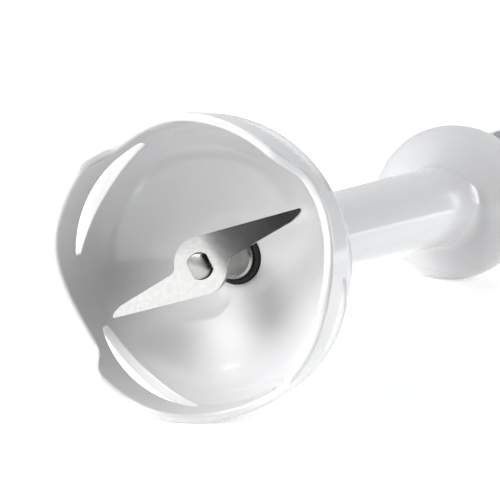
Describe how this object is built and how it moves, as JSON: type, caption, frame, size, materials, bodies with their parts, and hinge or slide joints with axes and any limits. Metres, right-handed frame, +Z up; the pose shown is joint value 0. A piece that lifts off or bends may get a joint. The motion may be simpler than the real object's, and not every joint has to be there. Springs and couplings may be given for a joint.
{
  "type": "immersion blender",
  "caption": "Hand stick blender: bell guard with scalloped rim round a winged blade, slim tapered stem, detachable foot and waisted motor grip with buttons.",
  "frame": {"origin": "on the table under the middle of the tool lying on its side", "axes": "+X along the tool from the guard rim to the cord end, +Z up from the table"},
  "size_m": [0.3956, 0.0642, 0.0624],
  "materials": {
    "white_gloss": "glossy moulded plastic",
    "soft_grey": "soft-touch button plastic",
    "blade_steel": "ground stainless steel",
    "steel": "turned steel",
    "zinc": "zinc-plated steel",
    "bronze": "sintered bronze",
    "brass": "stamped brass",
    "black_rubber": "moulded rubber",
    "inner_plastic": "glass-filled nylon",
    "dark_plastic": "moulded nylon",
    "lamination": "stacked electrical steel",
    "copper": "enamelled copper wire",
    "carbon": "pressed carbon",
    "board": "glass epoxy board",
    "film_yellow": "capacitor case"
  },
  "bodies": {
    "motor_unit": {"brush_holders": "brass", "brush_springs": "steel", "button_frame": "inner_plastic", "capacitor": "film_yellow", "carbon_brushes": "carbon", "circuit_board": "board", "cord_clamp": "dark_plastic", "cord_clamp_screws": "zinc", "cord_gland": "black_rubber", "coupling_socket": "inner_plastic", "end_cap": "white_gloss", "field_coils": "copper", "front_bearing": "steel", "housing_lower": "white_gloss", "housing_screws": "zinc", "housing_upper": "white_gloss", "motor_front_bracket": "inner_plastic", "motor_mounts": "black_rubber", "motor_rear_bracket": "inner_plastic", "power_button_spring": "steel", "power_switch": "dark_plastic", "rear_bearing": "steel", "release_springs": "steel", "stator_core": "lamination", "turbo_button_spring": "steel", "turbo_switch": "dark_plastic"},
    "motor_rotor": {"armature_core": "lamination", "armature_shaft": "steel", "armature_winding": "copper", "commutator": "brass", "cooling_fan": "dark_plastic", "drive_coupling": "dark_plastic"},
    "foot": {"bearing_carrier": "inner_plastic", "blade_guard": "white_gloss", "collar_oring": "black_rubber", "collar_screws": "zinc", "foot_collar": "inner_plastic", "guard_bush": "steel", "latch_springs": "steel", "shaft_seal": "black_rubber", "stem": "white_gloss", "upper_bush": "bronze"},
    "blade_spindle": {"blade": "blade_steel", "drive_shaft": "steel", "driven_coupling": "dark_plastic", "shaft_clip": "steel", "thrust_washers": "steel"},
    "power_key": {"power_button": "soft_grey"},
    "turbo_key": {"turbo_button": "soft_grey"},
    "power_switch_pin": {"power_plunger": "dark_plastic"},
    "turbo_switch_pin": {"turbo_plunger": "dark_plastic"},
    "release_key_left": {"release_button_left": "soft_grey"},
    "release_key_right": {"release_button_right": "soft_grey"}
  },
  "joints": [
    {"name": "motor_spin", "type": "hinge", "parent": "motor_unit", "child": "motor_rotor", "pos_m": [0.0902, 0, 0.031], "axis": [1, 0, 0], "continuous": true},
    {"name": "foot_release", "type": "slide", "parent": "motor_unit", "child": "foot", "axis": [-1, 0, 0], "range_m": [0, 0.03], "deforming": ["latch_springs"]},
    {"name": "blade_spin", "type": "hinge", "parent": "foot", "child": "blade_spindle", "pos_m": [-0.0778, 0, 0.031], "axis": [1, 0, 0], "continuous": true},
    {"name": "power_press", "type": "slide", "parent": "motor_unit", "child": "power_key", "axis": [0, 0, -1], "range_m": [0, 0.0016], "stiffness_N_per_m": 900, "springref_m": -0.001, "deforming": ["power_button_spring"]},
    {"name": "turbo_press", "type": "slide", "parent": "motor_unit", "child": "turbo_key", "axis": [0, 0, -1], "range_m": [0, 0.0016], "stiffness_N_per_m": 900, "springref_m": -0.001, "deforming": ["turbo_button_spring"]},
    {"name": "power_switch_travel", "type": "slide", "parent": "motor_unit", "child": "power_switch_pin", "axis": [0, 0, -1], "range_m": [0, 0.0016]},
    {"name": "turbo_switch_travel", "type": "slide", "parent": "motor_unit", "child": "turbo_switch_pin", "axis": [0, 0, -1], "range_m": [0, 0.0016]},
    {"name": "release_left_press", "type": "slide", "parent": "motor_unit", "child": "release_key_left", "axis": [0, -1, 0], "range_m": [0, 0.0013], "stiffness_N_per_m": 900, "springref_m": -0.001, "deforming": ["release_springs"]},
    {"name": "release_right_press", "type": "slide", "parent": "motor_unit", "child": "release_key_right", "axis": [0, 1, 0], "range_m": [0, 0.0013], "stiffness_N_per_m": 900, "springref_m": -0.001, "deforming": ["release_springs"]}
  ],
  "couplings": [
    {"joint": "blade_spin", "follows": "motor_spin", "ratio": 1},
    {"joint": "power_switch_travel", "follows": "power_press", "ratio": 1},
    {"joint": "turbo_switch_travel", "follows": "turbo_press", "ratio": 1}
  ]
}
